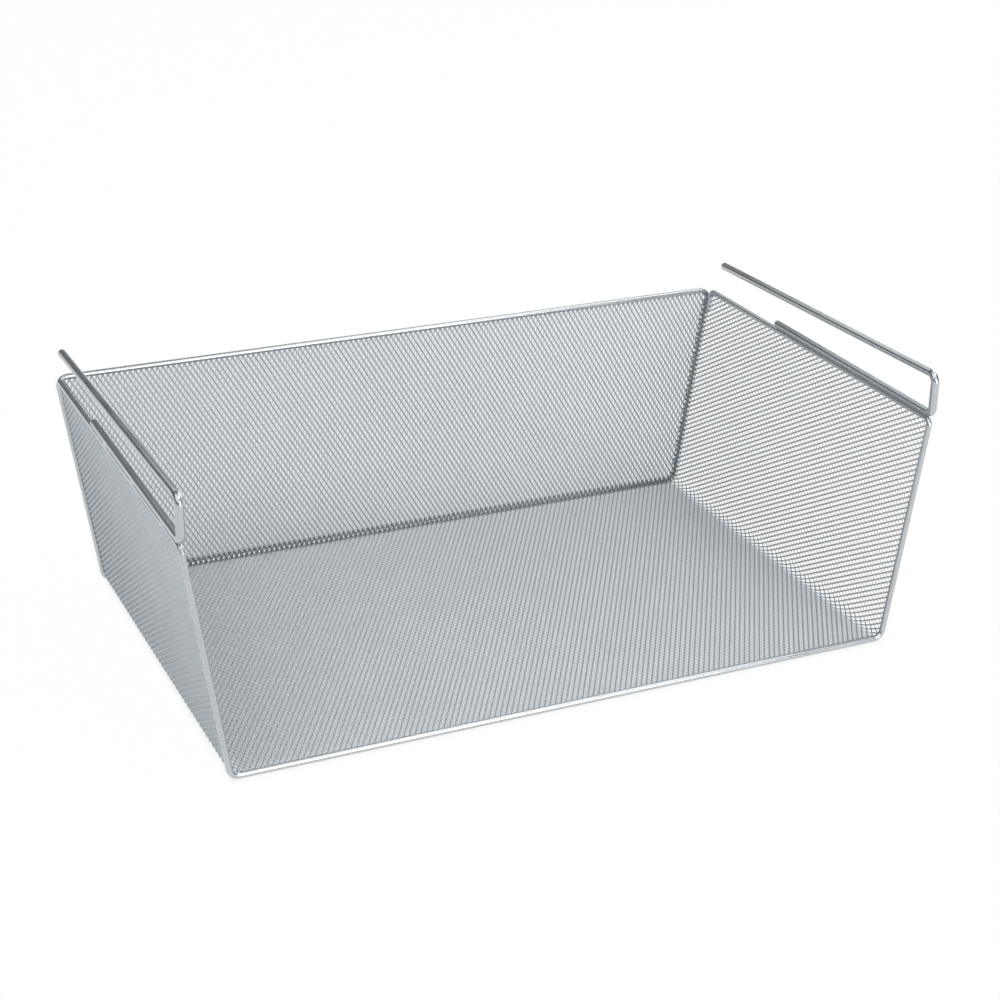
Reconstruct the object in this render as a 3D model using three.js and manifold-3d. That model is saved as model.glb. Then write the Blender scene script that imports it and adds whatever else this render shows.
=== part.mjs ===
// Under-shelf basket: an open-fronted basket of expanded metal mesh on bent steel wires,
// which hangs from a shelf board by two wire hooks.
// Millimetres, +Z up, open front towards -Y, origin on the ground under the middle of the basket.

import * as THREE from "three";
import { mergeVertices } from "three/addons/utils/BufferGeometryUtils.js";
import Module from "manifold-3d";

// Basket body, on the centre lines of its wires
const TOP_WIDTH = 420;
const BASE_WIDTH = 382;
const BODY_HEIGHT = 129;
const BODY_DEPTH = 243.5;
const BASE_BEND = 7; // lower corners of both wires and of the mesh between them
const FRONT_TOP_BEND = 4; // rim wire, from a front leg into a top run
const BACK_TOP_BEND = 5; // back wire, upper corners

// Wire
const RIM_DIAMETER = 3.3;
const HOOK_DIAMETER = 4.6;
const WIRE_SIDES = 8;
const BEND_STEPS = 5;

// Hooks
const SLOT_HEIGHT = 17.3; // clear height between a hook's legs at its upright
const UPPER_LEG = 227.5; // from the upright to the free end
const LOWER_LEG = 161.5; // from the upright to the end that lies on the rim
const UPPER_LEG_DROP = 5.4; // the free end sinks this far, so that the leg grips the board
const UPRIGHT_OVERHANG = 1.1; // the upright stands this far in front of the front wire
const HOOK_LOWER_BEND = 3.4;
const HOOK_UPPER_BEND = 4.8;

// Expanded metal mesh, whose real diamonds are enlarged so that each panel keeps a few hundred gaps at most
const MESH_THICKNESS = 1;
const DIAMOND_SHORT_WAY = 3.2;
const DIAMOND_LONG_WAY = 5.4;
const STRAND_WIDTH = 0.8;
const DIAMOND_ENLARGEMENT = 8;
const MESH_HEM = 3; // plain edge round each panel
const SMALLEST_GAP_SHARE = 0.2; // a diamond that the hem cuts to less than this share is left closed

// Welds, lying in the groove between two wires
const WELD_LENGTH = 9;
const WELD_RADIUS = 1;
const WELD_PROUD = 0.4; // the bead stands this far out of the groove
const HOOK_WELDS = 3; // along each lower leg
const RIM_WELD_RADIUS = 1.9;
const WELD_SEGMENTS = 10; // round a bead
const WELD_RINGS = 8; // along a bead

const CLEARANCE = 0.3; // between pieces that touch

// Worked-out sizes
const rimRadius = RIM_DIAMETER / 2;
const hookRadius = HOOK_DIAMETER / 2;
const topHalf = TOP_WIDTH / 2;
const baseHalf = BASE_WIDTH / 2;
const lean = Math.atan2(topHalf - baseHalf, BODY_HEIGHT); // of the sides, outwards from upright
const slope = Math.hypot(topHalf - baseHalf, BODY_HEIGHT); // length of a side from corner to corner
const wireGap = rimRadius + CLEARANCE; // from a rim wire's centre line to the mesh beside it
const baseTurn = Math.PI / 2 - lean; // angle through which the mesh bends from floor to side
const baseTangent = BASE_BEND * Math.tan(baseTurn / 2); // from the lower corner to the ends of its bend
const meshFront = wireGap;
const meshBack = BODY_DEPTH - wireGap;
const meshDepth = meshBack - meshFront;
const lowerLegHeight = BODY_HEIGHT + rimRadius + CLEARANCE + hookRadius;
const upperLegHeight = lowerLegHeight + SLOT_HEIGHT + HOOK_DIAMETER;

const alongDepth = new THREE.Vector3(0, 1, 0);
const acrossWidth = new THREE.Vector3(1, 0, 0);

const wasm = await Module();
wasm.setup();

// Materials: silver powder-coated steel, a little duller on the fine mesh
const wireFinish = () => new THREE.MeshStandardMaterial({ color: 0xb3b8bb, roughness: 0.38, metalness: 0.8 });
const meshFinish = () => new THREE.MeshStandardMaterial({ color: 0xa9afb3, roughness: 0.48, metalness: 0.7 });

// A wire's centre line: straight runs between corners, each inner corner rounded by its own bend.
// It is sampled only where it turns, and the section keeps its facets square to the runs.
class BentWire extends THREE.Curve {
  constructor(corners, bends, firstNormal) {
    super();
    this.points = [];
    this.tangents = [];
    this.firstNormal = firstNormal;
    corners.forEach((corner, i) => {
      if (i === 0) this.#station(corner, corners[1].clone().sub(corner).normalize());
      else if (i === corners.length - 1) this.#station(corner, corner.clone().sub(corners[i - 1]).normalize());
      else this.#bend(corners[i - 1], corner, corners[i + 1], bends[i - 1]);
    });
  }

  #station(point, tangent) {
    this.points.push(point.clone());
    this.tangents.push(tangent.clone());
  }

  #bend(before, corner, after, radius) {
    const arriving = corner.clone().sub(before).normalize();
    const leaving = after.clone().sub(corner).normalize();
    const turn = arriving.angleTo(leaving);
    const axis = arriving.clone().cross(leaving).normalize();
    const inward = axis.clone().cross(arriving);
    const start = corner.clone().addScaledVector(arriving, -radius * Math.tan(turn / 2));
    const centre = start.clone().addScaledVector(inward, radius);
    const steps = radius > 0 ? BEND_STEPS : 0;
    for (let step = 0; step <= steps; step++) {
      const angle = (turn * step) / BEND_STEPS;
      const spoke = inward.clone().negate().applyAxisAngle(axis, angle);
      this.#station(centre.clone().addScaledVector(spoke, radius), arriving.clone().applyAxisAngle(axis, angle));
    }
  }

  getPoint(t, target = new THREE.Vector3()) {
    const place = t * (this.points.length - 1);
    const first = Math.min(Math.floor(place), this.points.length - 2);
    return target.lerpVectors(this.points[first], this.points[first + 1], place - first);
  }

  getSpacedPoints() {
    return this.points;
  }

  computeFrenetFrames() {
    const normals = [this.firstNormal.clone()];
    const carry = new THREE.Quaternion();
    for (let i = 1; i < this.points.length; i++) {
      carry.setFromUnitVectors(this.tangents[i - 1], this.tangents[i]);
      normals.push(normals[i - 1].clone().applyQuaternion(carry));
    }
    const binormals = normals.map((normal, i) => this.tangents[i].clone().cross(normal));
    return { tangents: this.tangents, normals, binormals };
  }
}

// A wire of one diameter, measured across its facets, along a centre line
function wireGeometry(path, diameter) {
  const cornerRadius = diameter / 2 / Math.cos(Math.PI / WIRE_SIDES);
  const section = new THREE.Shape();
  for (let side = 0; side < WIRE_SIDES; side++) {
    const angle = (2 * Math.PI * (side + 0.5)) / WIRE_SIDES;
    const point = [cornerRadius * Math.cos(angle), cornerRadius * Math.sin(angle)];
    if (side === 0) section.moveTo(...point);
    else section.lineTo(...point);
  }
  section.closePath();
  return new THREE.ExtrudeGeometry(section, { steps: path.points.length - 1, extrudePath: path });
}

// Solids for cutting, and back to a geometry
function solidOf(geometry) {
  const bare = geometry.clone();
  bare.deleteAttribute("normal");
  bare.deleteAttribute("uv");
  const merged = mergeVertices(bare);
  return new wasm.Manifold(
    new wasm.Mesh({
      numProp: 3,
      vertProperties: merged.attributes.position.array,
      triVerts: new Uint32Array(merged.index.array),
    }),
  );
}

function geometryOf(solid) {
  const mesh = solid.getMesh();
  const geometry = new THREE.BufferGeometry();
  geometry.setAttribute("position", new THREE.BufferAttribute(mesh.vertProperties, 3));
  geometry.setIndex(new THREE.BufferAttribute(mesh.triVerts, 1));
  geometry.computeVertexNormals();
  return geometry;
}

// A flat plate on an outline, as thick on both sides of its plane
function plateOf(outline, thickness) {
  const plate = new THREE.ExtrudeGeometry(new THREE.Shape(outline), { depth: thickness, bevelEnabled: false });
  return solidOf(plate.translate(0, 0, -thickness / 2));
}

// The part of a diamond that lies inside a panel's hem; the panel's outline is convex and anticlockwise
function cutAtHem(diamond, outline) {
  let kept = diamond;
  outline.forEach((start, i) => {
    const edge = outline[(i + 1) % outline.length].clone().sub(start).normalize();
    const inside = (point) => edge.cross(point.clone().sub(start)) - MESH_HEM;
    const cut = [];
    kept.forEach((point, j) => {
      const next = kept[(j + 1) % kept.length];
      const here = inside(point);
      const there = inside(next);
      if (here >= 0) cut.push(point);
      if (here * there < 0) cut.push(point.clone().lerp(next, here / (here - there)));
    });
    kept = cut;
  });
  return kept;
}

// A flat panel of diamond mesh on an outline centred near the origin: short way along x, long way along y
function meshPanelGeometry(outline) {
  const shortWay = DIAMOND_SHORT_WAY * DIAMOND_ENLARGEMENT;
  const longWay = DIAMOND_LONG_WAY * DIAMOND_ENLARGEMENT;
  const strand = STRAND_WIDTH * DIAMOND_ENLARGEMENT;
  const openShare = 1 - (strand * Math.hypot(shortWay, longWay)) / (shortWay * longWay);
  const halfShort = (shortWay / 2) * openShare;
  const halfLong = (longWay / 2) * openShare;
  const smallestGap = 2 * halfShort * halfLong * SMALLEST_GAP_SHARE;
  const box = new THREE.Box2().setFromPoints(outline);
  const middle = box.getCenter(new THREE.Vector2());
  const size = box.getSize(new THREE.Vector2());
  const columns = Math.ceil(size.x / shortWay);
  const rows = Math.ceil(size.y / longWay);
  const gaps = [];
  for (let column = -columns; column <= columns; column++) {
    for (let row = -rows; row <= rows; row++) {
      if ((column + row) % 2 !== 0) continue; // every other row is staggered by half a diamond
      const x = middle.x + (column * shortWay) / 2;
      const y = middle.y + (row * longWay) / 2;
      const diamond = [
        new THREE.Vector2(x + halfShort, y),
        new THREE.Vector2(x, y + halfLong),
        new THREE.Vector2(x - halfShort, y),
        new THREE.Vector2(x, y - halfLong),
      ];
      const gap = cutAtHem(diamond, outline);
      if (gap.length > 2 && THREE.ShapeUtils.area(gap) > smallestGap) gaps.push(plateOf(gap, 2 * MESH_THICKNESS));
    }
  }
  return geometryOf(plateOf(outline, MESH_THICKNESS).subtract(wasm.Manifold.union(gaps)));
}

// A convex outline with each corner, given anticlockwise, rounded by its own radius
function roundedOutline(corners, radii) {
  const flat = corners.map(([x, y]) => new THREE.Vector3(x, y, 0));
  const middle = flat[0].clone().lerp(flat[flat.length - 1], 0.5);
  const loop = new BentWire([middle, ...flat, middle], radii, alongDepth);
  return loop.points.slice(1).map((point) => new THREE.Vector2(point.x, point.y));
}

function named(name, geometry, material) {
  const mesh = new THREE.Mesh(geometry, material);
  mesh.name = name;
  return mesh;
}

// Centre lines of the wires
const runEnd = BODY_DEPTH - wireGap - rimRadius; // the top runs stop in front of the back wire

const rimPath = new BentWire(
  [
    new THREE.Vector3(-topHalf, runEnd, BODY_HEIGHT),
    new THREE.Vector3(-topHalf, 0, BODY_HEIGHT),
    new THREE.Vector3(-baseHalf, 0, 0),
    new THREE.Vector3(baseHalf, 0, 0),
    new THREE.Vector3(topHalf, 0, BODY_HEIGHT),
    new THREE.Vector3(topHalf, runEnd, BODY_HEIGHT),
  ],
  [FRONT_TOP_BEND, BASE_BEND, BASE_BEND, FRONT_TOP_BEND],
  new THREE.Vector3(Math.cos(lean), 0, Math.sin(lean)),
);

// The back wire is a loop whose two ends meet in the middle of its lower run
const backPath = new BentWire(
  [
    new THREE.Vector3(CLEARANCE / 2, BODY_DEPTH, 0),
    new THREE.Vector3(baseHalf, BODY_DEPTH, 0),
    new THREE.Vector3(topHalf, BODY_DEPTH, BODY_HEIGHT),
    new THREE.Vector3(-topHalf, BODY_DEPTH, BODY_HEIGHT),
    new THREE.Vector3(-baseHalf, BODY_DEPTH, 0),
    new THREE.Vector3(-CLEARANCE / 2, BODY_DEPTH, 0),
  ],
  [BASE_BEND, BACK_TOP_BEND, BACK_TOP_BEND, BASE_BEND],
  alongDepth,
);

function hookPath(side) {
  const x = side * topHalf;
  const uprightY = -UPRIGHT_OVERHANG;
  return new BentWire(
    [
      new THREE.Vector3(x, uprightY + LOWER_LEG, lowerLegHeight),
      new THREE.Vector3(x, uprightY, lowerLegHeight),
      new THREE.Vector3(x, uprightY, upperLegHeight),
      new THREE.Vector3(x, uprightY + UPPER_LEG, upperLegHeight - UPPER_LEG_DROP),
    ],
    [HOOK_LOWER_BEND, HOOK_UPPER_BEND],
    acrossWidth,
  );
}

// The floor panel, and the two panels that lean outwards from the bends beside it
function addBodyMesh(basket) {
  const floorHalf = baseHalf - baseTangent - CLEARANCE;
  const floor = roundedOutline(
    [
      [-floorHalf, meshFront],
      [floorHalf, meshFront],
      [floorHalf, meshBack],
      [-floorHalf, meshBack],
    ],
    [0, 0, 0, 0],
  );
  basket.add(named("floor_mesh", meshPanelGeometry(floor), meshFinish()));

  const sideLow = baseTangent + CLEARANCE;
  const sideHigh = slope - wireGap;
  const sideOutline = roundedOutline(
    [
      [sideLow, meshFront],
      [sideHigh, meshFront],
      [sideHigh, meshBack],
      [sideLow, meshBack],
    ],
    [0, FRONT_TOP_BEND - wireGap, 0, 0],
  );
  const bendSection = new THREE.Shape();
  const outer = BASE_BEND + MESH_THICKNESS / 2;
  const inner = BASE_BEND - MESH_THICKNESS / 2;
  bendSection.absarc(0, 0, outer, -Math.PI / 2, -Math.PI / 2 + baseTurn, false);
  bendSection.absarc(0, 0, inner, -Math.PI / 2 + baseTurn, -Math.PI / 2, true);
  for (const [side, word] of [[-1, "left"], [1, "right"]]) {
    const panel = named(`${word}_side_mesh`, meshPanelGeometry(sideOutline), meshFinish());
    panel.position.x = side * baseHalf;
    panel.rotation.y = side * lean - Math.PI / 2;
    basket.add(panel);

    const strip = new THREE.ExtrudeGeometry(bendSection, {
      depth: meshDepth,
      bevelEnabled: false,
      curveSegments: BEND_STEPS,
    });
    const bend = named(`${word}_bend_mesh`, strip, meshFinish());
    bend.position.set(side * (baseHalf - baseTangent), side > 0 ? meshBack : meshFront, BASE_BEND);
    bend.rotation.set(Math.PI / 2, side > 0 ? 0 : Math.PI, 0);
    basket.add(bend);
  }
}

// The back panel fills the back wire's loop
function addBackMesh(basket) {
  const halfAt = (height) => baseHalf + height * Math.tan(lean) - wireGap / Math.cos(lean);
  const low = wireGap;
  const high = BODY_HEIGHT - wireGap;
  const lowRadius = BASE_BEND - wireGap;
  const highRadius = BACK_TOP_BEND - wireGap;
  const outline = roundedOutline(
    [
      [-halfAt(low), low],
      [halfAt(low), low],
      [halfAt(high), high],
      [-halfAt(high), high],
    ],
    [lowRadius, lowRadius, highRadius, highRadius],
  );
  const panel = named("back_mesh", meshPanelGeometry(outline), meshFinish());
  panel.position.y = BODY_DEPTH;
  panel.rotation.x = Math.PI / 2;
  basket.add(panel);
}

function addWires(basket) {
  basket.add(named("body_rim_wire", wireGeometry(rimPath, RIM_DIAMETER), wireFinish()));
  basket.add(named("back_rim_wire", wireGeometry(backPath, RIM_DIAMETER), wireFinish()));
  basket.add(named("left_hook", wireGeometry(hookPath(-1), HOOK_DIAMETER), wireFinish()));
  basket.add(named("right_hook", wireGeometry(hookPath(1), HOOK_DIAMETER), wireFinish()));
}

// Weld beads: along the outer groove between a hook and the rim, and where the rim's ends meet the back wire
function addWelds(basket) {
  const grown = 2 * CLEARANCE;
  const rim = solidOf(wireGeometry(rimPath, RIM_DIAMETER + grown));
  const back = solidOf(wireGeometry(backPath, RIM_DIAMETER + grown));
  const grooveHeight = BODY_HEIGHT + rimRadius + CLEARANCE / 2;
  const grooveMouth = rimRadius + WELD_PROUD - WELD_RADIUS;
  const uprightY = -UPRIGHT_OVERHANG;
  for (const [side, word] of [[-1, "left"], [1, "right"]]) {
    const hook = solidOf(wireGeometry(hookPath(side), HOOK_DIAMETER + grown));
    for (let i = 0; i < HOOK_WELDS; i++) {
      const y = uprightY + (LOWER_LEG * (i + 0.5)) / HOOK_WELDS;
      const bead = new THREE.SphereGeometry(1, WELD_SEGMENTS, WELD_RINGS);
      bead.scale(WELD_RADIUS, WELD_LENGTH / 2, WELD_RADIUS);
      bead.translate(side * (topHalf + grooveMouth), y, grooveHeight);
      const cut = solidOf(bead).subtract(rim).subtract(hook);
      basket.add(named(`${word}_hook_weld_${i + 1}`, geometryOf(cut), wireFinish()));
    }
    const knob = new THREE.SphereGeometry(RIM_WELD_RADIUS, WELD_SEGMENTS, WELD_RINGS);
    knob.translate(side * (topHalf - rimRadius), runEnd, BODY_HEIGHT + rimRadius / 2);
    const cut = solidOf(knob).subtract(rim).subtract(back);
    basket.add(named(`${word}_rim_weld`, geometryOf(cut), wireFinish()));
  }
}

const basket = new THREE.Group();
addWires(basket);
addBodyMesh(basket);
addBackMesh(basket);
addWelds(basket);

// The wires' undersides stand on the ground, and the whole is centred front to back
const foremost = Math.min(-UPRIGHT_OVERHANG - hookRadius, -rimRadius);
const rearmost = Math.max(BODY_DEPTH + rimRadius, UPPER_LEG - UPRIGHT_OVERHANG);
basket.position.set(0, -(foremost + rearmost) / 2, rimRadius);

export default basket;
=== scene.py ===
"""Under-shelf basket of silver coated wire and expanded metal mesh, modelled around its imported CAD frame."""

import math

import bpy
import numpy as np
from bpy.props import FloatProperty, FloatVectorProperty, IntProperty, PointerProperty
from mathutils import Matrix, Vector


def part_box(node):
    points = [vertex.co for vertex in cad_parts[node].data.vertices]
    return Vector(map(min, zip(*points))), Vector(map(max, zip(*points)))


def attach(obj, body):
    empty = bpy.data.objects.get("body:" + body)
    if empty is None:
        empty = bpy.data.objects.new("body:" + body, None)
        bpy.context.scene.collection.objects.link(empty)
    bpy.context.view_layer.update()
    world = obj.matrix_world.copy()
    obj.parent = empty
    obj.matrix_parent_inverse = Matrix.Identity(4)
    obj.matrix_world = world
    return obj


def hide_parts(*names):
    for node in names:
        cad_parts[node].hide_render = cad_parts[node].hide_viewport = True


bl_info = {
    "name": "Under-shelf basket",
    "version": (1, 0, 0),
    "blender": (4, 5, 0),
    "location": "View3D > Sidebar > Basket",
    "description": "Builds a mesh basket that hangs under a shelf by two wire hooks",
    "category": "Object",
}

MM = 0.001

# Coats
WIRE_COAT = "silver powder coat on wire"
MESH_COAT = "silver powder coat on expanded steel"
# Width of the orange peel in millimetres, roughness, and share of bare metal shine
COATS = {WIRE_COAT: (1.5, 0.28, 0.95), MESH_COAT: (0.9, 0.4, 0.45)}
# Widths of the flake's clusters and of the duller patches, and height of the orange peel, in millimetres
FLAKE_CLUSTER = 0.7
DULL_PATCH = 30
PEEL_HEIGHT = 0.02
PEEL_STRENGTH = 0.1
# Values of the flake's noise where flake begins to show and where it hides the coat
FLAKE_SHOWS = 0.38
FLAKE_HIDES = 0.8
# Values between which most of the patches' noise lies, and how far the patches shift the roughness
PATCH_LOW = 0.3
PATCH_HIGH = 0.7
PATCH_SHIFT = 0.05
# Depth of the mask for the painted shade in the fold, in millimetres in front of the back wire's middle
FOLD_SHADE_DEPTH = 10
# Shares of that depth where the painted shade begins, becomes darkest, stops being darkest and is gone again
FOLD_SHADE_START = 0.35
FOLD_SHADE_DARKEST = 0.62
FOLD_SHADE_END = 0.83
FOLD_SHADE_GONE = 0.84

# Wires and beads
# Places nearer to each other than this, in metres, are the same
NEAR = 0.01 * MM
# Shares of the wire's diameter by which the cut ends of rim and hooks are rounded
RIM_ROUNDING = 0.3
HOOK_ROUNDING = 0.22
ROUNDING_STEPS = 4
# Degrees between two faces up to which wires and beads are shaded smooth
SMOOTH_ANGLE = 40
# A bead's faces round and along, the unevenness of its skin as a share of its radius, and how it is smoothed
BEAD_SEGMENTS = 24
BEAD_RINGS = 16
BEAD_UNEVENNESS = 0.25
BEAD_SMOOTHING = 0.5
BEAD_PASSES = 3

# Mesh
# Share of the rim wire's diameter between its centre line and the mesh's edge inside it
TUCKED = 0.25
# How much larger than its sheet a net starts
NET_MARGIN = 1.1
# Shares of a corner's turn at which a cut rounds it
CORNER_CUTS = (0.25, 0.5, 0.75)
# Share of the pitch within which a point lies in line with its bond
IN_LINE = 0.05

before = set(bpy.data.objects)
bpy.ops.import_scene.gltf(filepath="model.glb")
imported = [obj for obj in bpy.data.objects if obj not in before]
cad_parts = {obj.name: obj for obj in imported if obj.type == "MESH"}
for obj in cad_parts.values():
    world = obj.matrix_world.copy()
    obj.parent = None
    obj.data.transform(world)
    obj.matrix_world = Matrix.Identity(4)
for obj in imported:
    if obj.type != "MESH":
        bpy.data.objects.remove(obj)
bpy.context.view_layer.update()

# The rim wires' radius, and where their centre lines lie in the frame
rim_low, rim_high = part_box("body_rim_wire")
back_low, back_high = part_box("back_rim_wire")
RIM_RADIUS = (back_high.y - back_low.y) / 2
FRONT_Y = rim_low.y + RIM_RADIUS
BACK_Y = (back_low.y + back_high.y) / 2
BASE_Z = rim_low.z + RIM_RADIUS
TOP_Z = rim_high.z - RIM_RADIUS


def linear(hex_colour):
    """The linear colour of an sRGB hex value."""
    channels = [int(hex_colour[i : i + 2], 16) / 255 for i in (1, 3, 5)]
    return [c / 12.92 if c <= 0.04045 else ((c + 0.055) / 1.055) ** 2.4 for c in channels]


def length(name, description, millimetres):
    """A size in the sidebar, given in millimetres."""
    return FloatProperty(
        name=name, description=description, default=millimetres * MM, unit="LENGTH", precision=5
    )


def colour(name, description, hex_colour):
    """A colour in the sidebar, given as an sRGB hex value."""
    return FloatVectorProperty(
        name=name, description=description, default=linear(hex_colour), subtype="COLOR", min=0, max=1
    )


class BasketSizes(bpy.types.PropertyGroup):
    """Sizes of the wires and the mesh."""

    top_width: length("Top width", "Between the centre lines of the two top runs", 420)
    base_width: length("Base width", "Between the lower corners of the wires", 382)
    base_bend: length("Base bend", "Radius of the lower corners of wires and mesh", 5.5)
    front_top_bend: length("Front top bend", "Radius from a front leg into a top run", 4)
    back_top_bend: length("Back top bend", "Radius of the back wire's upper corners", 5)
    rear_bend: length("Rear bend", "Radius at which a top run's rear end turns down", 4.5)
    rear_drop: length("Rear drop", "How far a top run's rear end reaches down into the fold", 13)
    rim_diameter: length("Rim wire", "Diameter of the rim wires", RIM_RADIUS * 2 / MM)
    hook_diameter: length("Hook wire", "Diameter of the hooks' wire", 4.6)
    upper_leg: length("Upper leg", "From a hook's upright to its free end", 227.5)
    lower_leg: length("Lower leg", "From a hook's upright to its end on the rim", 161.5)
    upper_leg_drop: length("Upper leg drop", "How far the free end sinks", 5.4)
    slot_height: length("Slot height", "Clear height between a hook's legs", 17.9)
    upright_overhang: length("Upright overhang", "Upright in front of the front wire", 1.1)
    hook_lower_bend: length("Hook lower bend", "Radius of a hook's lower bend", 3.4)
    hook_upper_bend: length("Hook upper bend", "Radius of a hook's upper bend", 4.8)
    weld_sink: length("Weld sink", "How far a hook sinks into the rim where it is welded", 0.3)
    short_way: length("Short way", "Width of a mesh diamond", 3.2)
    long_way: length("Long way", "Length of a mesh diamond", 5.4)
    bond_width: length("Bond width", "Width of a bond between four strands, seen straight on", 0.95)
    bond_length: length("Bond length", "Length of a bond along the long way", 1.3)
    bond_lift: length("Bond lift", "How far a bond's edges rise and sink as the sheet is stretched", 0.7)
    sheet_thickness: length("Sheet thickness", "Thickness of the steel of the mesh", 0.3)
    bend_press: FloatProperty(
        name="Bend press",
        description="Share by which bending presses the bonds flat",
        default=0.6,
        min=0,
        max=1,
    )
    fold_bend: length("Fold bend", "Radius of the fold at the body mesh's rear edge", 3.5)
    fold_reach: length("Fold reach", "Flat part of the fold behind its bend", 1)
    weld_length: length("Weld length", "Length of a bead under a hook", 8)
    weld_width: length("Weld width", "Width of a bead", 2)
    wire_sides: IntProperty(name="Wire sides", description="Faces round a wire", default=24, min=8)
    bend_steps: IntProperty(name="Bend steps", description="Steps in a wire's bend", default=12, min=4)


class BasketColours(bpy.types.PropertyGroup):
    """Colours of the coat and the studio."""

    wire_coat: colour("Wire coat", "Silver coat on the wires", "#babec1")
    mesh_coat: colour("Mesh coat", "Silver coat on the mesh", "#c2c8cc")
    # Painted shade: a darker colour mixed into the mesh in the body sheet's rear fold
    painted_fold_shade: colour("Fold coat", "Thin coat inside the body sheet's rear fold", "#8a8e91")
    flake: colour("Flake", "Bright flake in the coat", "#d0d4d7")
    floor: colour("Floor", "Studio floor", "#ededed")


def sizes():
    """The sizes in use."""
    return bpy.context.scene.basket_sizes


def colours():
    """The colours in use."""
    return bpy.context.scene.basket_colours


# Materials


def add_node(tree, kind, inputs=None, **settings):
    """Adds a node with its settings, and gives its inputs constant values or other nodes' outputs."""
    node = tree.nodes.new(kind)
    for name, value in settings.items():
        setattr(node, name, value)
    for socket, source in (inputs or {}).items():
        if isinstance(source, bpy.types.NodeSocket):
            tree.links.new(source, node.inputs[socket])
        else:
            node.inputs[socket].default_value = source
    return node


def powder_coat(name, base, flake, peel_mm, roughness, metal):
    """Silver powder coat on steel: fine aluminium flake in a clear satin coat with a faint orange peel."""
    material = bpy.data.materials.new(name)
    material.use_nodes = True
    tree = material.node_tree
    tree.nodes.clear()
    place = add_node(tree, "ShaderNodeTexCoord").outputs["Object"]
    # Flake is far finer than a pixel, so it is drawn in clusters that are coarse enough to show
    flakes = add_node(
        tree,
        "ShaderNodeTexNoise",
        {"Vector": place, "Scale": 1 / (FLAKE_CLUSTER * MM), "Detail": 3.0},
    )
    tint = add_node(tree, "ShaderNodeValToRGB", {"Fac": flakes.outputs["Fac"]})
    tint.color_ramp.elements[0].position = FLAKE_SHOWS
    tint.color_ramp.elements[0].color = (*base, 1)
    tint.color_ramp.elements[1].position = FLAKE_HIDES
    tint.color_ramp.elements[1].color = (*flake, 1)
    coated = tint.outputs["Color"]
    if name == MESH_COAT:
        # Painted shade: the mesh's coat is darkened in the fold in front of the back wire, where shade falls
        axes = add_node(tree, "ShaderNodeSeparateXYZ", {"Vector": place})
        depth = add_node(
            tree,
            "ShaderNodeMapRange",
            {"Value": axes.outputs["Y"], "From Min": BACK_Y - FOLD_SHADE_DEPTH * MM, "From Max": BACK_Y},
        )
        fold_shade_ramp = add_node(tree, "ShaderNodeValToRGB", {"Fac": depth.outputs["Result"]})
        fold_shade_ramp.color_ramp.elements[0].position = FOLD_SHADE_START
        fold_shade_ramp.color_ramp.elements[1].position = FOLD_SHADE_DARKEST
        # The back sheet, behind the fold, gets no painted shade
        fold_shade_ramp.color_ramp.elements.new(FOLD_SHADE_END).color = (1, 1, 1, 1)
        fold_shade_ramp.color_ramp.elements.new(FOLD_SHADE_GONE).color = (0, 0, 0, 1)
        # Inputs 6 and 7 are the two colours, and output 2 is their mix
        fold_shaded = add_node(
            tree,
            "ShaderNodeMix",
            {"Factor": fold_shade_ramp.outputs["Color"], 6: coated, 7: (*colours().painted_fold_shade, 1)},
            data_type="RGBA",
        )
        coated = fold_shaded.outputs[2]
    # The coat lies a little thicker and duller in patches
    patches = add_node(
        tree,
        "ShaderNodeTexNoise",
        {"Vector": place, "Scale": 1 / (DULL_PATCH * MM), "Detail": 2.0},
    )
    gloss = add_node(
        tree,
        "ShaderNodeMapRange",
        {
            "Value": patches.outputs["Fac"],
            "From Min": PATCH_LOW,
            "From Max": PATCH_HIGH,
            "To Min": roughness - PATCH_SHIFT,
            "To Max": roughness + PATCH_SHIFT,
        },
    )
    peel = add_node(
        tree,
        "ShaderNodeTexNoise",
        {"Vector": place, "Scale": 1 / (peel_mm * MM), "Detail": 1.0},
    )
    bump = add_node(
        tree,
        "ShaderNodeBump",
        {"Height": peel.outputs["Fac"], "Strength": PEEL_STRENGTH, "Distance": PEEL_HEIGHT * MM},
    )
    shader = add_node(
        tree,
        "ShaderNodeBsdfPrincipled",
        {
            "Base Color": coated,
            "Roughness": gloss.outputs["Result"],
            "Normal": bump.outputs["Normal"],
            "Metallic": metal,
        },
    )
    add_node(tree, "ShaderNodeOutputMaterial", {"Surface": shader.outputs["BSDF"]})
    return material


def coat_of(piece, name, base):
    """Gives a piece its coat, made once under its name."""
    material = bpy.data.materials.get(name)
    if material is None:
        material = powder_coat(name, tuple(base), tuple(colours().flake), *COATS[name])
    piece.data.materials.clear()
    piece.data.materials.append(material)


def finish_wire(piece, nodes):
    """A finished wire: coated, riding on the basket, in place of its CAD nodes."""
    coat_of(piece, WIRE_COAT, colours().wire_coat)
    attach(piece, "root")
    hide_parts(*nodes)


def finish_mesh(piece, nodes):
    """A finished mesh sheet: coated, riding on the basket, in place of its CAD nodes."""
    coat_of(piece, MESH_COAT, colours().mesh_coat)
    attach(piece, "root")
    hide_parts(*nodes)


# Wires


def select_faces(piece, wanted):
    """In edit mode, selects only the faces whose centre passes a test."""
    bpy.ops.mesh.select_all(action="DESELECT")
    bpy.ops.object.mode_set(mode="OBJECT")
    for polygon in piece.data.polygons:
        polygon.select = wanted(polygon.center)
    bpy.ops.object.mode_set(mode="EDIT")


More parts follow.
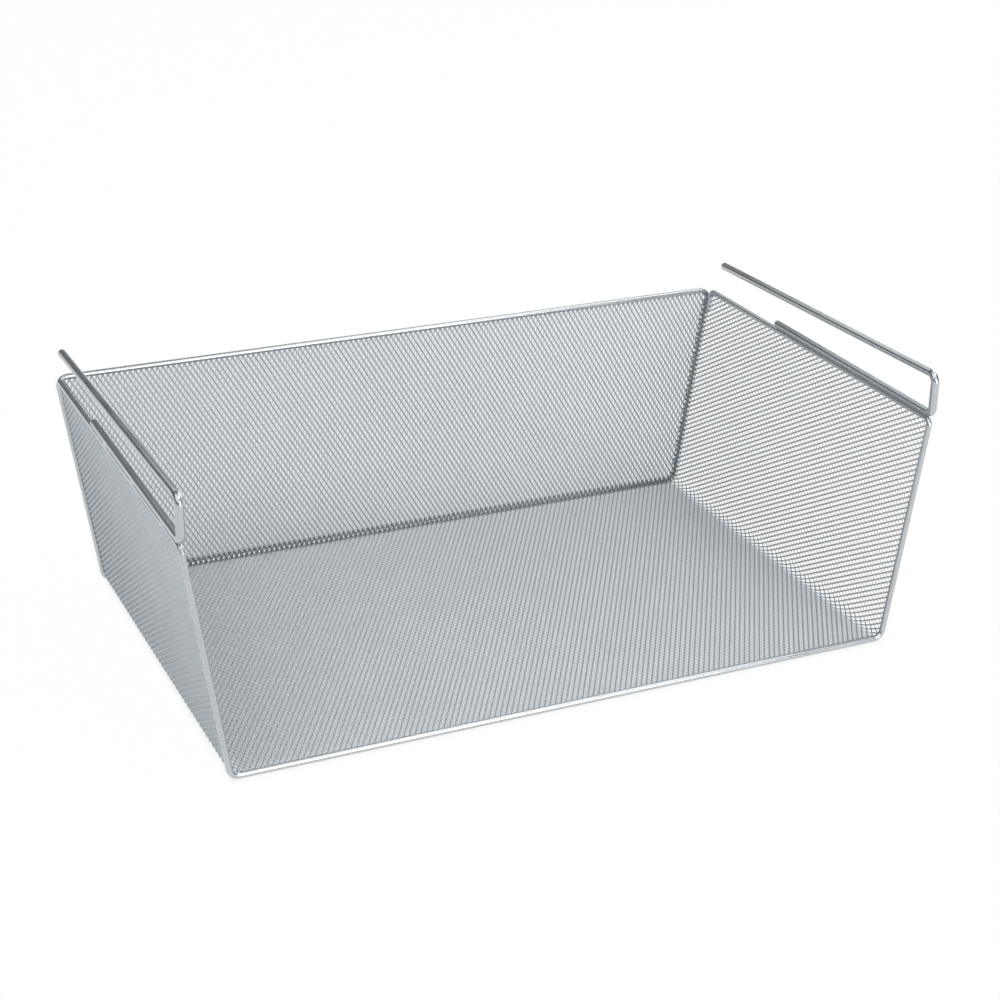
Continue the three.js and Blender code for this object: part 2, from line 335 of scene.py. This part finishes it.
def make_wire(name, corners, bends, diameter):
    """A round wire, extruded along its straight runs and spun round its bends."""
    steps = sizes().bend_steps
    heading = (corners[1] - corners[0]).normalized()
    bpy.ops.object.select_all(action="DESELECT")
    bpy.ops.mesh.primitive_circle_add(
        vertices=sizes().wire_sides,
        radius=diameter / 2,
        fill_type="NGON",
        location=corners[0],
        rotation=heading.to_track_quat("Z", "Y").to_euler(),
    )
    wire = bpy.context.object
    wire.name = name
    bpy.ops.object.transform_apply(location=True, rotation=True, scale=True)
    bpy.ops.object.mode_set(mode="EDIT")
    bpy.ops.mesh.select_mode(type="FACE")
    bpy.ops.mesh.select_all(action="SELECT")
    place = corners[0]
    for before, corner, after, bend in zip(corners, corners[1:], corners[2:], bends):
        arriving = (corner - before).normalized()
        leaving = (after - corner).normalized()
        turn = arriving.angle(leaving)
        axis = arriving.cross(leaving).normalized()
        tangent = bend * math.tan(turn / 2)
        run_end = corner - arriving * tangent
        centre = run_end + axis.cross(arriving) * bend
        bpy.ops.mesh.extrude_region_move(TRANSFORM_OT_translate={"value": run_end - place})
        bpy.ops.mesh.spin(steps=steps, angle=-turn, center=centre, axis=axis)
        place = corner + leaving * tangent
    bpy.ops.mesh.extrude_region_move(TRANSFORM_OT_translate={"value": corners[-1] - place})
    return wire


def round_ends(wire, ends, radius):
    """Rounds the rims of a wire's two cut ends, in edit mode."""
    select_faces(wire, lambda centre: any((centre - end).length < NEAR for end in ends))
    bpy.ops.mesh.bevel(offset=radius, segments=ROUNDING_STEPS, affect="EDGES")


def close_loop(wire, seam):
    """Joins a wire's two ends where they meet, in edit mode."""
    select_faces(wire, lambda centre: (centre - seam).length < NEAR)
    bpy.ops.mesh.delete(type="ONLY_FACE")
    bpy.ops.mesh.select_all(action="SELECT")
    bpy.ops.mesh.remove_doubles(threshold=NEAR)


def end_edit(piece):
    """Leaves edit mode with the faces pointing outwards and the surface smooth."""
    bpy.ops.mesh.select_all(action="SELECT")
    bpy.ops.mesh.normals_make_consistent(inside=False)
    bpy.ops.object.mode_set(mode="OBJECT")
    bpy.ops.object.shade_smooth_by_angle(angle=math.radians(SMOOTH_ANGLE))


class BASKET_OT_rim_wires(bpy.types.Operator):
    """Bend the open wire round the body and the closed wire round the back"""

    bl_idname = "basket.rim_wires"
    bl_label = "Rim wires"

    def execute(self, context):
        s = sizes()
        top = s.top_width / 2
        base = s.base_width / 2
        run_end = BACK_Y - s.rim_diameter
        end_x = top - s.rear_drop * (top - base) / (TOP_Z - BASE_Z)
        ends = [Vector((side * end_x, run_end, TOP_Z - s.rear_drop)) for side in (-1, 1)]
        corners = [
            ends[0],
            Vector((-top, run_end, TOP_Z)),
            Vector((-top, FRONT_Y, TOP_Z)),
            Vector((-base, FRONT_Y, BASE_Z)),
            Vector((base, FRONT_Y, BASE_Z)),
            Vector((top, FRONT_Y, TOP_Z)),
            Vector((top, run_end, TOP_Z)),
            ends[1],
        ]
        bends = [s.rear_bend, s.front_top_bend, s.base_bend, s.base_bend, s.front_top_bend, s.rear_bend]
        body = make_wire("body_wire", corners, bends, s.rim_diameter)
        round_ends(body, ends, s.rim_diameter * RIM_ROUNDING)
        end_edit(body)
        finish_wire(body, ["body_rim_wire"])

        seam = Vector((0, BACK_Y, BASE_Z))
        corners = [
            seam,
            Vector((base, BACK_Y, BASE_Z)),
            Vector((top, BACK_Y, TOP_Z)),
            Vector((-top, BACK_Y, TOP_Z)),
            Vector((-base, BACK_Y, BASE_Z)),
            seam,
        ]
        bends = [s.base_bend, s.back_top_bend, s.back_top_bend, s.base_bend]
        back = make_wire("back_wire", corners, bends, s.rim_diameter)
        close_loop(back, seam)
        end_edit(back)
        finish_wire(back, ["back_rim_wire"])
        return {"FINISHED"}


class BASKET_OT_hooks(bpy.types.Operator):
    """Bend the two hooks and set their lower legs on the top runs"""

    bl_idname = "basket.hooks"
    bl_label = "Hooks"

    def execute(self, context):
        s = sizes()
        low = TOP_Z + (s.rim_diameter + s.hook_diameter) / 2 - s.weld_sink
        high = low + s.slot_height + s.hook_diameter
        front = FRONT_Y - s.upright_overhang
        for side, word in ((-1, "left"), (1, "right")):
            x = side * s.top_width / 2
            corners = [
                Vector((x, front + s.lower_leg, low)),
                Vector((x, front, low)),
                Vector((x, front, high)),
                Vector((x, front + s.upper_leg, high - s.upper_leg_drop)),
            ]
            bends = [s.hook_lower_bend, s.hook_upper_bend]
            hook = make_wire(f"{word}_hook_wire", corners, bends, s.hook_diameter)
            round_ends(hook, [corners[0], corners[-1]], s.hook_diameter * HOOK_ROUNDING)
            end_edit(hook)
            finish_wire(hook, [f"{word}_hook"])
        return {"FINISHED"}


def make_bead(name, middle, radii, seed):
    """A weld bead: a drawn-out drop with an uneven skin."""
    bpy.ops.object.select_all(action="DESELECT")
    bpy.ops.mesh.primitive_uv_sphere_add(
        segments=BEAD_SEGMENTS, ring_count=BEAD_RINGS, radius=1, location=middle, scale=radii
    )
    bead = bpy.context.object
    bead.name = name
    bpy.ops.object.transform_apply(location=True, rotation=True, scale=True)
    bpy.ops.object.mode_set(mode="EDIT")
    bpy.ops.mesh.select_all(action="SELECT")
    bpy.ops.transform.vertex_random(offset=min(radii) * BEAD_UNEVENNESS, seed=seed)
    bpy.ops.mesh.vertices_smooth(factor=BEAD_SMOOTHING, repeat=BEAD_PASSES)
    end_edit(bead)
    return bead


class BASKET_OT_welds(bpy.types.Operator):
    """Lay the weld beads under the hooks, and between the top runs' rear ends and the back wire"""

    bl_idname = "basket.welds"
    bl_label = "Welds"

    def execute(self, context):
        s = sizes()
        radius = s.weld_width / 2
        top = s.top_width / 2
        slope = (top - s.base_width / 2) / (TOP_Z - BASE_Z)
        for side, word in ((-1, "left"), (1, "right")):
            places = {}
            for i in (1, 2, 3):
                low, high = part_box(f"{word}_hook_weld_{i}")
                in_groove = Vector((side * (top + radius), (low.y + high.y) / 2, TOP_Z + s.rim_diameter / 2))
                places[f"{word}_hook_weld_{i}"] = (in_groove, (radius, s.weld_length / 2, radius))
            drop = s.rear_drop - radius
            between = Vector((side * (top - drop * slope), BACK_Y - s.rim_diameter / 2, TOP_Z - drop))
            places[f"{word}_rim_weld"] = (between, (radius, radius, 2 * radius))
            for seed, (node, (middle, radii)) in enumerate(places.items()):
                bead = make_bead(f"{node}_bead", middle, radii, seed)
                coat_of(bead, WIRE_COAT, colours().wire_coat)
                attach(bead, "root")
                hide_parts(node)
        return {"FINISHED"}


# Expanded mesh


def trim(cuts):
    """Cuts away what lies beyond each plane, given by a point and the direction to clear, in edit mode."""
    for point, outward in cuts:
        bpy.ops.mesh.select_all(action="SELECT")
        bpy.ops.mesh.bisect(plane_co=point, plane_no=outward, clear_outer=True)


def rounded_corner(corner, arriving, leaving, radius):
    """Cuts that round an outline's corner, as planes that touch its arc."""
    turn = arriving.angle(leaving)
    axis = arriving.cross(leaving).normalized()
    tangent = radius * math.tan(turn / 2)
    centre = corner - arriving * tangent + axis.cross(arriving) * radius
    spoke = -axis.cross(arriving)
    cuts = []
    for share in CORNER_CUTS:
        outward = Matrix.Rotation(turn * share, 3, axis) @ spoke
        cuts.append((centre + outward * radius, outward))
    return cuts


def stretched_net(name, cuts, reach, span):
    """A flat net of expanded metal, short way along x and long way along y, trimmed to an outline.

    Only strands and bonds whose middle lies in the span across the sheet are kept, so that two nets meet.
    """
    s = sizes()
    across = 2 * math.ceil(reach.x / s.short_way)
    along = 2 * math.ceil(reach.y / s.long_way)
    count = across + along
    bpy.ops.object.select_all(action="DESELECT")
    bpy.ops.mesh.primitive_grid_add(x_subdivisions=count, y_subdivisions=count, size=count)
    net = bpy.context.object
    net.name = name
    net.rotation_euler.z = math.radians(45)
    bpy.ops.object.transform_apply(location=True, rotation=True, scale=True)
    net.scale = (s.short_way / math.sqrt(2), s.long_way / math.sqrt(2), 1)
    bpy.ops.object.transform_apply(location=True, rotation=True, scale=True)
    bpy.ops.object.mode_set(mode="EDIT")
    bpy.ops.mesh.select_mode(type="FACE")
    margin = s.long_way
    trim((point + outward * margin, outward) for point, outward in cuts)
    bpy.ops.mesh.select_all(action="SELECT")
    # Only to split strands, bonds and openings: tip_bonds then gives the bonds their true size
    bpy.ops.mesh.bevel(offset=s.short_way / 8, segments=1, affect="EDGES")
    # The bevel leaves its strands and bonds selected, and the openings between them not
    bpy.ops.mesh.select_all(action="INVERT")
    bpy.ops.mesh.delete(type="FACE")
    select_faces(net, lambda centre: not span[0] <= centre.x < span[1])
    bpy.ops.mesh.delete(type="FACE")
    bpy.ops.object.mode_set(mode="OBJECT")
    tip_bonds(net)
    bpy.ops.object.mode_set(mode="EDIT")
    trim(cuts)
    bpy.ops.object.mode_set(mode="OBJECT")
    return net


def points_of(piece):
    """A piece's points as an array."""
    points = np.empty(len(piece.data.vertices) * 3)
    piece.data.vertices.foreach_get("co", points)
    return points.reshape(-1, 3)


def move_points(piece, points):
    """Puts a piece's points where an array says."""
    piece.data.vertices.foreach_set("co", np.ascontiguousarray(points).ravel())
    piece.data.update()


def tip_bonds(net):
    """Tips every bond of a flat net about the long way, as stretching the slit sheet does."""
    s = sizes()
    points = points_of(net)
    pitch = np.array([s.short_way, s.long_way]) / 2
    bond = np.round(points[:, :2] / pitch)
    from_bond = points[:, :2] / pitch - bond
    side = np.where(np.abs(from_bond) > IN_LINE, np.sign(from_bond), 0)
    points[:, :2] = bond * pitch + side * np.array([s.bond_width, s.bond_length]) / 2
    points[:, 2] = side[:, 0] * s.bond_lift
    move_points(net, points)


def thicken(net):
    """Gives a net its sheet's thickness."""
    solid = net.modifiers.new("sheet", "SOLIDIFY")
    solid.thickness = sizes().sheet_thickness
    solid.offset = 0
    bpy.ops.object.modifier_apply(modifier=solid.name)
    bpy.ops.object.shade_flat()


def side_turn():
    """Angle through which the sheet turns from the floor up into a side."""
    s = sizes()
    lean = math.atan2(s.top_width / 2 - s.base_width / 2, TOP_Z - BASE_Z)
    return math.pi / 2 - lean


def fold_body(net):
    """Folds the body's flat net: floor, two bends, two leaning sides, and the fold along the rear edge."""
    s = sizes()
    base = s.base_width / 2
    turn = side_turn()
    floor_half = base - s.base_bend * math.tan(turn / 2)
    across, along, lift = points_of(net).T
    side = np.sign(across)
    beyond = np.abs(across) - floor_half
    angle = np.clip(beyond / s.base_bend, 0, turn)
    lift = lift * (1 - s.bend_press * np.sin(angle / turn * math.pi))
    up_side = np.maximum(beyond - s.base_bend * turn, 0)
    x = np.minimum(np.abs(across), floor_half) + s.base_bend * np.sin(angle) + up_side * math.cos(turn)
    z = s.base_bend * (1 - np.cos(angle)) + up_side * math.sin(turn)
    inward_x = -np.sin(angle)
    inward_z = np.cos(angle)
    fold_start = fold_line() - s.fold_bend
    folded = np.clip((along - fold_start) / s.fold_bend, 0, math.pi / 2)
    past_fold = np.maximum(along - fold_start - s.fold_bend * math.pi / 2, 0)
    y = np.minimum(along, fold_start) + s.fold_bend * np.sin(folded)
    shift = s.fold_bend * (1 - np.cos(folded)) + past_fold + lift * np.cos(folded)
    y = y - lift * np.sin(folded)
    move_points(
        net,
        np.stack([side * (x + inward_x * shift), FRONT_Y + y, BASE_Z + z + inward_z * shift], axis=1),
    )


def fold_line():
    """Distance from the front wire to the middle of the fold that stands in front of the back wire."""
    s = sizes()
    return BACK_Y - FRONT_Y - s.rim_diameter / 2 - s.sheet_thickness / 2 - s.bond_lift


class BASKET_OT_body_mesh(bpy.types.Operator):
    """Make the sheet of expanded mesh that runs down the left side, along the floor and up the right side"""

    bl_idname = "basket.body_mesh"
    bl_label = "Body mesh"

    def execute(self, context):
        s = sizes()
        base = s.base_width / 2
        rise = TOP_Z - BASE_Z
        turn = side_turn()
        tangent = s.base_bend * math.tan(turn / 2)
        tucked = s.rim_diameter * TUCKED
        edge = base - 2 * tangent + s.base_bend * turn + math.hypot(s.top_width / 2 - base, rise) - tucked
        rear = fold_line() + s.fold_bend * (math.pi / 2 - 1) + s.fold_reach
        # The sheet is made in three like parts, to keep each piece's count of faces low
        seam = edge / 3
        forwards = Vector((0, -1, 0))
        backwards = Vector((0, 1, 0))
        front_cut = (Vector((0, tucked, 0)), forwards)
        rear_cut = (Vector((0, rear, 0)), backwards)
        left = Vector((-1, 0, 0))
        right = Vector((1, 0, 0))
        corner_radius = s.front_top_bend - tucked
        left_corner = rounded_corner(Vector((-edge, tucked, 0)), left, backwards, corner_radius)
        right_corner = rounded_corner(Vector((edge, tucked, 0)), right, backwards, corner_radius)
        reach = Vector((edge, rear, 0)) * NET_MARGIN
        rear_radius = s.rear_bend + s.fold_bend
        left_rear = rounded_corner(Vector((-edge, rear, 0)), backwards, right, rear_radius)
        right_rear = rounded_corner(Vector((edge, rear, 0)), backwards, left, rear_radius)
        side_cuts = [(Vector((-edge, 0, 0)), left), (Vector((edge, 0, 0)), right)]
        cuts = [front_cut, rear_cut, *side_cuts, *left_corner, *right_corner, *left_rear, *right_rear]
        parts = (
            ("left", (-2 * edge, -seam), ["left_side_mesh", "left_bend_mesh"]),
            ("floor", (-seam, seam), ["floor_mesh"]),
            ("right", (seam, 2 * edge), ["right_side_mesh", "right_bend_mesh"]),
        )
        for word, span, nodes in parts:
            net = stretched_net(f"{word}_body_mesh", cuts, reach, span)
            fold_body(net)
            thicken(net)
            finish_mesh(net, nodes)
        return {"FINISHED"}


class BASKET_OT_back_mesh(bpy.types.Operator):
    """Make the flat sheet of expanded mesh inside the back wire"""

    bl_idname = "basket.back_mesh"
    bl_label = "Back mesh"

    def execute(self, context):
        s = sizes()
        top = s.top_width / 2
        base = s.base_width / 2
        rise = TOP_Z - BASE_Z
        tucked = s.rim_diameter * TUCKED
        outline = [
            Vector((-base, 0, 0)),
            Vector((base, 0, 0)),
            Vector((top, rise, 0)),
            Vector((-top, rise, 0)),
        ]
        radii = [s.base_bend, s.base_bend, s.back_top_bend, s.back_top_bend]
        cuts = []
        for i, corner in enumerate(outline):
            arriving = (corner - outline[i - 1]).normalized()
            leaving = (outline[(i + 1) % 4] - corner).normalized()
            outward = Vector((leaving.y, -leaving.x, 0))
            cuts.append((corner - outward * tucked, outward))
            for point, direction in rounded_corner(corner, arriving, leaving, radii[i]):
                cuts.append((point - direction * tucked, direction))
        net = stretched_net("back_sheet_mesh", cuts, Vector((top, rise, 0)) * NET_MARGIN, (-2 * top, 2 * top))
        across, up, lift = points_of(net).T
        move_points(net, np.stack([across, BACK_Y - lift, BASE_Z + up], axis=1))
        thicken(net)
        finish_mesh(net, ["back_mesh"])
        return {"FINISHED"}


# Stage

# Width of the studio floor in metres, so wide that low views don't reach past it
FLOOR_SIZE = 60
# The floor's shade in metres: half its width beside the basket, how far back it begins to drift and widen,
# its middle from front to back, and half its length
SHADE_HALF_WIDTH = 0.187
SHADE_TURN = 0.12
SHADE_MIDDLE = 0.172
SHADE_HALF_LENGTH = 0.29
# How far the shade drifts to the right and widens to either side for each metre further back
SHADE_DRIFT = 0.4
SHADE_WIDENING = 0.243
# Share of the shade's size over which its border softens, inside and outside
SHADE_BORDER = 0.03
# Where the shade is darkest and where it is lightest, in metres to the right of the middle
SHADE_DARKEST = -0.15
SHADE_LIGHTEST = 0.3
# Shares of plain white at those two places and outside the shade
WHITE_DARKEST = 0.08
WHITE_LIGHTEST = 0.45
WHITE_OUTSIDE = 0.99

# Linear tints of the light
PLAIN_LIGHT = (1.0, 1.0, 1.0)
COOL_LIGHT = (0.95, 0.98, 1.0)
# Each lamp's name, place, width and height in metres, power in watts, and tint
LAMPS = (
    ("top_softbox", (0.7, -0.3, 1.5), 2.4, 0.9, 12.5, PLAIN_LIGHT),
    ("front_softbox", (0.45, -1.8, 0.6), 0.9, 0.9, 16, PLAIN_LIGHT),
    ("left_softbox", (-0.8, -0.68, 1.36), 1.7, 1.7, 12.2, COOL_LIGHT),
    ("back_softbox", (0.05, 1.42, 1.34), 1.9, 0.8, 4.5, PLAIN_LIGHT),
    ("right_softbox", (1.6, 0.75, 0.6), 1.8, 1.1, 10.5, COOL_LIGHT),
)
# The lamps face this point inside the basket
LAMP_AIM = Vector((0, 0, 0.06))
WALL_STRENGTH = 0.15

# The photo's camera, fitted to the wires' edges: place and reach in metres, angles in degrees, lens and
# sensor in millimetres
CAMERA_PLACE = Vector((-445.58, -992.42, 550.79)) * MM
CAMERA_TURN = -24.617
CAMERA_DIP = 23.855
CAMERA_ROLL = 0.745
CAMERA_LENS = 75.875
CAMERA_SENSOR = 36
CAMERA_REACH = 50


def shown_rays(tree):
    """One for rays from the camera, a reflection or a see-through surface, which see a white background."""
    path = add_node(tree, "ShaderNodeLightPath")
    seen = add_node(
        tree,
        "ShaderNodeMath",
        {0: path.outputs["Is Camera Ray"], 1: path.outputs["Is Glossy Ray"]},
        operation="MAXIMUM",
    )
    through = add_node(
        tree,
        "ShaderNodeMath",
        {0: seen.outputs[0], 1: path.outputs["Is Transmission Ray"]},
        operation="MAXIMUM",
    )
    return through.outputs[0]


class BASKET_OT_stage(bpy.types.Operator):
    """Set the floor, the lamps, the world and the camera"""

    bl_idname = "basket.stage"
    bl_label = "Stage"

    def execute(self, context):
        scene = context.scene
        scene.view_settings.view_transform = "Standard"
        self.add_floor()
        self.add_lamps()
        self.add_world(scene)
        self.add_camera(scene)
        return {"FINISHED"}

    def add_floor(self):
        """A wide sheet of studio paper under the basket."""
        bpy.ops.object.select_all(action="DESELECT")
        bpy.ops.mesh.primitive_plane_add(size=FLOOR_SIZE)
        floor = bpy.context.object
        floor.name = "studio_floor"
        material = bpy.data.materials.new("pale studio paper")
        material.use_nodes = True
        tree = material.node_tree
        tree.nodes.clear()
        paper = add_node(tree, "ShaderNodeBsdfDiffuse", {"Color": (*colours().floor, 1)})
        glow = add_node(tree, "ShaderNodeEmission", {"Color": (*PLAIN_LIGHT, 1), "Strength": 1.0})
        # Within a drawn outline under and behind the basket the paper shows its real shade, lifted by painted
        # light; away from it the paper runs out to plain white
        place = add_node(tree, "ShaderNodeTexCoord")
        axes = add_node(tree, "ShaderNodeSeparateXYZ", {"Vector": place.outputs["Object"]})
        # From the back wire on, the shade drifts to the right and widens
        past_turn = add_node(
            tree, "ShaderNodeMath", {0: axes.outputs["Y"], 1: SHADE_TURN}, operation="SUBTRACT"
        )
        behind = add_node(tree, "ShaderNodeMath", {0: past_turn.outputs[0], 1: 0}, operation="MAXIMUM")
        drift = add_node(
            tree,
            "ShaderNodeMath",
            {0: behind.outputs[0], 1: -SHADE_DRIFT, 2: axes.outputs["X"]},
            operation="MULTIPLY_ADD",
        )
        sideways = add_node(tree, "ShaderNodeMath", {0: drift.outputs[0]}, operation="ABSOLUTE")
        half_width = add_node(
            tree,
            "ShaderNodeMath",
            {0: behind.outputs[0], 1: SHADE_WIDENING, 2: SHADE_HALF_WIDTH},
            operation="MULTIPLY_ADD",
        )
        across = add_node(
            tree, "ShaderNodeMath", {0: sideways.outputs[0], 1: half_width.outputs[0]}, operation="DIVIDE"
        )
        from_middle = add_node(
            tree, "ShaderNodeMath", {0: axes.outputs["Y"], 1: SHADE_MIDDLE}, operation="SUBTRACT"
        )
        lengthways = add_node(tree, "ShaderNodeMath", {0: from_middle.outputs[0]}, operation="ABSOLUTE")
        along = add_node(
            tree, "ShaderNodeMath", {0: lengthways.outputs[0], 1: SHADE_HALF_LENGTH}, operation="DIVIDE"
        )
        # One on the shade's border, less inside it and more outside
        outside = add_node(
            tree, "ShaderNodeMath", {0: across.outputs[0], 1: along.outputs[0]}, operation="MAXIMUM"
        )
        whiteness = add_node(
            tree,
            "ShaderNodeMapRange",
            {
                "Value": outside.outputs[0],
                "From Min": 1 - SHADE_BORDER,
                "From Max": 1 + SHADE_BORDER,
                "To Min": WHITE_DARKEST,
                "To Max": WHITE_OUTSIDE,
            },
        )
        # Painted light: more plain white is mixed into the shade towards the right
        painted_white_lift = add_node(
            tree,
            "ShaderNodeMapRange",
            {
                "Value": axes.outputs["X"],
                "From Min": SHADE_DARKEST,
                "From Max": SHADE_LIGHTEST,
                "To Min": WHITE_DARKEST,
                "To Max": WHITE_LIGHTEST,
            },
        )
        lightest = add_node(
            tree, "ShaderNodeMath", {0: whiteness.outputs[0], 1: painted_white_lift.outputs[0]}, operation="MAXIMUM"
        )
        share = add_node(
            tree, "ShaderNodeMath", {0: shown_rays(tree), 1: lightest.outputs[0]}, operation="MULTIPLY"
        )
        mix = add_node(
            tree, "ShaderNodeMixShader", {0: share.outputs[0], 1: paper.outputs[0], 2: glow.outputs[0]}
        )
        add_node(tree, "ShaderNodeOutputMaterial", {"Surface": mix.outputs[0]})
        floor.data.materials.append(material)

    def add_lamps(self):
        """Softboxes round the basket."""
        for name, place, width, height, power, tint in LAMPS:
            bpy.ops.object.light_add(type="AREA", location=place)
            lamp = bpy.context.object
            lamp.name = name
            lamp.rotation_euler = (LAMP_AIM - Vector(place)).to_track_quat("-Z", "Y").to_euler()
            lamp.data.shape = "RECTANGLE"
            lamp.data.size = width
            lamp.data.size_y = height
            lamp.data.energy = power
            lamp.data.color = tint

    def add_world(self, scene):
        """Dim, slightly cool walls round the studio."""
        world = bpy.data.worlds.new("studio")
        scene.world = world
        world.use_nodes = True
        tree = world.node_tree
        tree.nodes.clear()
        walls = add_node(
            tree, "ShaderNodeBackground", {"Color": (*COOL_LIGHT, 1), "Strength": WALL_STRENGTH}
        )
        add_node(tree, "ShaderNodeOutputWorld", {"Surface": walls.outputs[0]})

    def add_camera(self, scene):
        """The camera that took the photo."""
        bpy.ops.object.camera_add()
        camera = bpy.context.object
        camera.name = "photo_camera"
        turned = Matrix.Rotation(math.radians(CAMERA_TURN), 4, "Z")
        tilted = Matrix.Rotation(math.radians(90 - CAMERA_DIP), 4, "X")
        rolled = Matrix.Rotation(math.radians(CAMERA_ROLL), 4, "Z")
        camera.matrix_world = Matrix.Translation(CAMERA_PLACE) @ turned @ tilted @ rolled
        camera.data.sensor_width = CAMERA_SENSOR
        camera.data.lens = CAMERA_LENS
        camera.data.clip_end = CAMERA_REACH
        scene.camera = camera


class BASKET_PT_sidebar(bpy.types.Panel):
    """Lists the basket's steps, sizes and colours."""

    bl_idname = "BASKET_PT_sidebar"
    bl_label = "Under-shelf basket"
    bl_space_type = "VIEW_3D"
    bl_region_type = "UI"
    bl_category = "Basket"

    def draw(self, context):
        column = self.layout.column()
        for step in STEPS:
            column.operator(step.bl_idname)
        for group in (context.scene.basket_sizes, context.scene.basket_colours):
            for name in group.__annotations__:
                column.prop(group, name)


STEPS = (
    BASKET_OT_rim_wires,
    BASKET_OT_hooks,
    BASKET_OT_welds,
    BASKET_OT_body_mesh,
    BASKET_OT_back_mesh,
    BASKET_OT_stage,
)
CLASSES = (BasketSizes, BasketColours, *STEPS, BASKET_PT_sidebar)


def register():
    for item in CLASSES:
        bpy.utils.register_class(item)
    bpy.types.Scene.basket_sizes = PointerProperty(type=BasketSizes)
    bpy.types.Scene.basket_colours = PointerProperty(type=BasketColours)


def unregister():
    del bpy.types.Scene.basket_colours
    del bpy.types.Scene.basket_sizes
    for item in reversed(CLASSES):
        bpy.utils.unregister_class(item)


def main():
    register()
    bpy.ops.basket.rim_wires()
    bpy.ops.basket.hooks()
    bpy.ops.basket.welds()
    bpy.ops.basket.body_mesh()
    bpy.ops.basket.back_mesh()
    bpy.ops.basket.stage()


if __name__ == "__main__":
    main()
